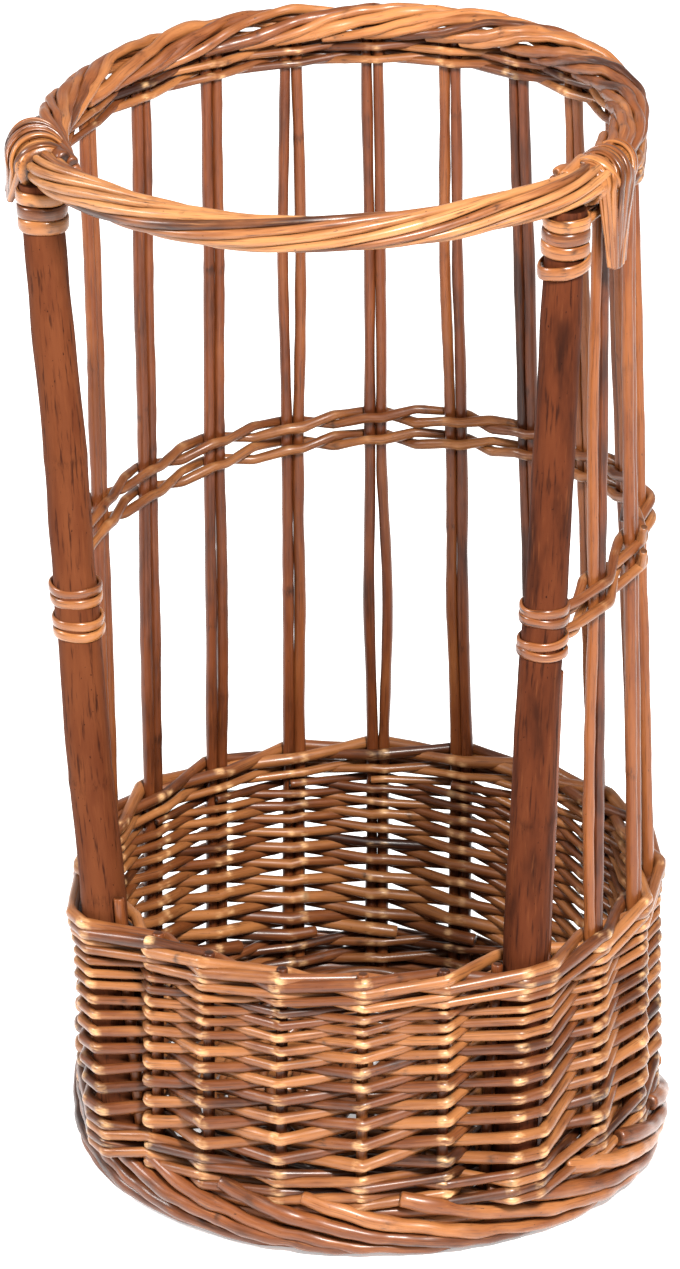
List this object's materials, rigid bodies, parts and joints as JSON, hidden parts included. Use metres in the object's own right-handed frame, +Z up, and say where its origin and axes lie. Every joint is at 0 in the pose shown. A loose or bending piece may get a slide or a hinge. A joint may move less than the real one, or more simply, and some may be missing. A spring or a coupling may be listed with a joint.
{
  "type": "umbrella stand",
  "caption": "Round wicker umbrella stand: a low woven tub with an open cage of paired stakes, two thick posts, a middle band and a bound rim, open at the front.",
  "frame": {"origin": "on the floor plane under the middle of the whole stand, 7.8 mm from the middle of the foot because the stand leans a little towards -X", "axes": "+Z up along the stand; the open front between the two posts faces -Y; +X is the right-hand side seen from the front"},
  "size_m": [0.3121, 0.298, 0.5521],
  "materials": {
    "post_willow": "stained and varnished peeled willow stick, fine lengthwise grain",
    "skein_binding": "split and shaved willow skein, glossy varnish",
    "stake_willow": "stained and varnished willow rod",
    "base_willow": "stained willow sticks and rods, satin",
    "border_willow": "stained and varnished thick willow rod",
    "weaver_willow": "stained and varnished thin willow rod, glossy"
  },
  "bodies": {
    "root": {"band_rod_1": "weaver_willow", "band_rod_2": "weaver_willow", "band_rod_3": "weaver_willow", "band_rod_4": "weaver_willow", "band_wrap_left": "skein_binding", "band_wrap_right": "skein_binding", "base_sticks": "base_willow", "base_weave": "base_willow", "cap_binding_left": "skein_binding", "cap_binding_right": "skein_binding", "foot_border": "border_willow", "front_bar": "border_willow", "front_stake_1": "stake_willow", "front_stake_2": "stake_willow", "front_stake_3": "stake_willow", "front_stake_4": "stake_willow", "front_stake_5": "stake_willow", "head_wrap_left": "skein_binding", "head_wrap_right": "skein_binding", "lower_wale": "weaver_willow", "post_left": "post_willow", "post_liners": "stake_willow", "post_right": "post_willow", "randing_rod_01": "weaver_willow", "randing_rod_02": "weaver_willow", "randing_rod_03": "weaver_willow", "randing_rod_04": "weaver_willow", "randing_rod_05": "weaver_willow", "randing_rod_06": "weaver_willow", "randing_rod_07": "weaver_willow", "randing_rod_08": "weaver_willow", "randing_rod_09": "weaver_willow", "randing_rod_10": "weaver_willow", "randing_rod_11": "weaver_willow", "randing_rod_12": "weaver_willow", "randing_rod_13": "weaver_willow", "randing_rod_14": "weaver_willow", "randing_rod_15": "weaver_willow", "randing_rod_16": "weaver_willow", "randing_rod_17": "weaver_willow", "randing_rod_18": "weaver_willow", "randing_rod_19": "weaver_willow", "randing_rod_20": "weaver_willow", "rim_border": "border_willow", "stake_pair_01": "stake_willow", "stake_pair_02": "stake_willow", "stake_pair_03": "stake_willow", "stake_pair_04": "stake_willow", "stake_pair_05": "stake_willow", "stake_pair_06": "stake_willow", "stake_pair_07": "stake_willow", "stake_pair_08": "stake_willow", "stake_pair_09": "stake_willow", "stake_pair_10": "stake_willow", "stake_pair_11": "stake_willow", "stake_pair_12": "stake_willow", "stake_pair_13": "stake_willow", "top_wale": "weaver_willow", "upper_wale": "weaver_willow"}
  },
  "joints": []
}
